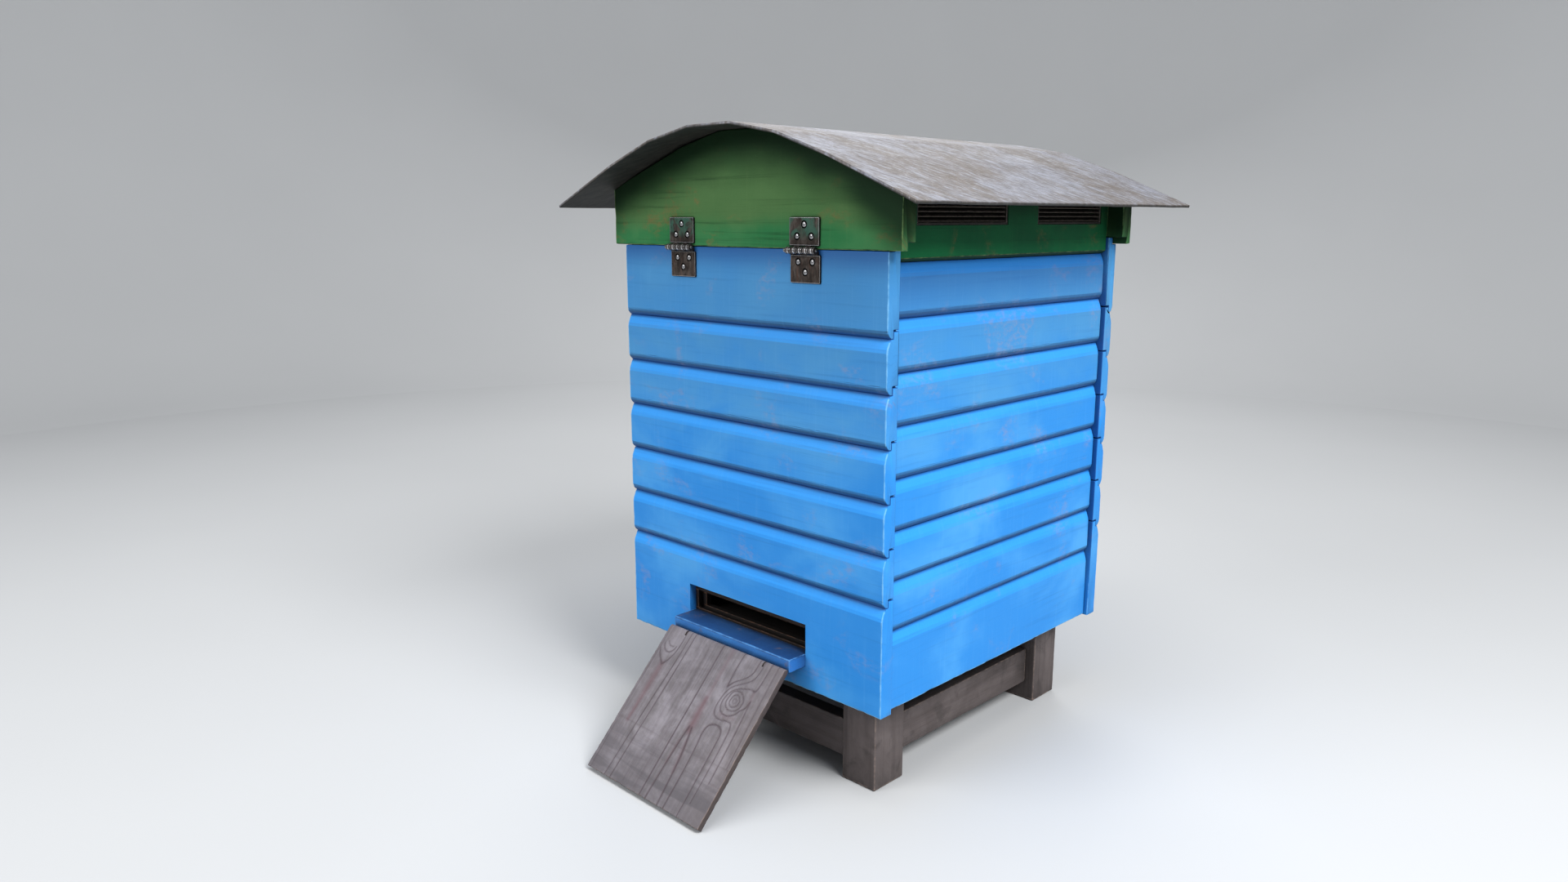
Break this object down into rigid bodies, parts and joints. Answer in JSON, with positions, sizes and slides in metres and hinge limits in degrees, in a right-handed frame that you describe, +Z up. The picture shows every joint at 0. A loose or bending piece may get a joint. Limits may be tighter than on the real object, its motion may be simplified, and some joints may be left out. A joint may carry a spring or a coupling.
{
  "type": "beehive",
  "caption": "Shiplap-clad beehive on a four-legged stand, with a hinged gabled roof under a bent sheet, frames and a crown board inside, an entrance shelf and a folding ramp.",
  "frame": {"origin": "on the ground, under the middle of the footprint that runs from the ramp's tip to the roof's rear edge", "axes": "+Z up, front of the hive towards -Y, +X to the right seen from the front"},
  "size_m": [0.6288, 0.7484, 0.8245],
  "materials": {
    "blue_painted_wood": "weathered satin paint on shiplap boards, pale at the worn edges",
    "green_painted_wood": "weathered satin paint with faint orange patches",
    "stand_wood": "dark weathered timber",
    "ramp_wood": "grey weathered plank with strong grain and knots",
    "roof_sheet_metal": "dull, streaked with brown and white weathering",
    "vent_metal": "dark brown paint",
    "hinge_steel": "rust-browned steel with worn bright edges",
    "entrance_wood": "dark stained wood",
    "bare_pine": "unpainted pine, darkened by use",
    "frame_pine": "pine bars round drawn comb"
  },
  "bodies": {
    "hive_body": {"front_board_1": "blue_painted_wood", "front_board_2": "blue_painted_wood", "front_board_3": "blue_painted_wood", "front_board_4": "blue_painted_wood", "front_board_5": "blue_painted_wood", "front_board_6": "blue_painted_wood", "front_board_7": "blue_painted_wood", "rear_board_1": "blue_painted_wood", "rear_board_2": "blue_painted_wood", "rear_board_3": "blue_painted_wood", "rear_board_4": "blue_painted_wood", "rear_board_5": "blue_painted_wood", "rear_board_6": "blue_painted_wood", "rear_board_7": "blue_painted_wood", "left_side_panel": "blue_painted_wood", "right_side_panel": "blue_painted_wood", "corner_post_front_left": "bare_pine", "corner_post_front_right": "bare_pine", "corner_post_rear_left": "bare_pine", "corner_post_rear_right": "bare_pine", "floor_board": "bare_pine", "frame_01": "frame_pine", "frame_02": "frame_pine", "frame_03": "frame_pine", "frame_04": "frame_pine", "frame_05": "frame_pine", "frame_06": "frame_pine", "frame_07": "frame_pine", "frame_08": "frame_pine", "frame_09": "frame_pine", "frame_10": "frame_pine", "entrance_frame": "entrance_wood", "landing_shelf": "blue_painted_wood", "ramp_hinge_rod": "hinge_steel", "ramp_hinge_bracket": "hinge_steel", "stand_leg_front_left": "stand_wood", "stand_leg_front_right": "stand_wood", "stand_leg_rear_left": "stand_wood", "stand_leg_rear_right": "stand_wood", "stand_rail_front": "stand_wood", "stand_rail_rear": "stand_wood", "stand_rail_left": "stand_wood", "stand_rail_right": "stand_wood", "hinge_left_body_leaf": "hinge_steel", "hinge_left_pin": "hinge_steel", "hinge_right_body_leaf": "hinge_steel", "hinge_right_pin": "hinge_steel"},
    "roof": {"roof_sheet": "roof_sheet_metal", "gable_front": "green_painted_wood", "gable_rear": "green_painted_wood", "roof_side_left": "green_painted_wood", "vent_grille_left_front": "vent_metal", "vent_grille_left_rear": "vent_metal", "roof_side_right": "green_painted_wood", "vent_grille_right_front": "vent_metal", "vent_grille_right_rear": "vent_metal", "hinge_left_roof_leaf": "hinge_steel", "hinge_right_roof_leaf": "hinge_steel"},
    "ramp": {"landing_ramp": "ramp_wood"},
    "crown": {"crown_board": "bare_pine"}
  },
  "joints": [
    {"name": "roof_hinge", "type": "hinge", "parent": "hive_body", "child": "roof", "pos_m": [0, -0.19734, 0.6766], "axis": [1, 0, 0], "range_deg": [0, 140]},
    {"name": "ramp_hinge", "type": "hinge", "parent": "hive_body", "child": "ramp", "pos_m": [0, -0.22564, 0.157], "axis": [-1, 0, 0], "range_deg": [0, 142]},
    {"name": "crown_lift", "type": "slide", "parent": "hive_body", "child": "crown", "axis": [0, 0, 1], "range_m": [0, 0.04]}
  ]
}
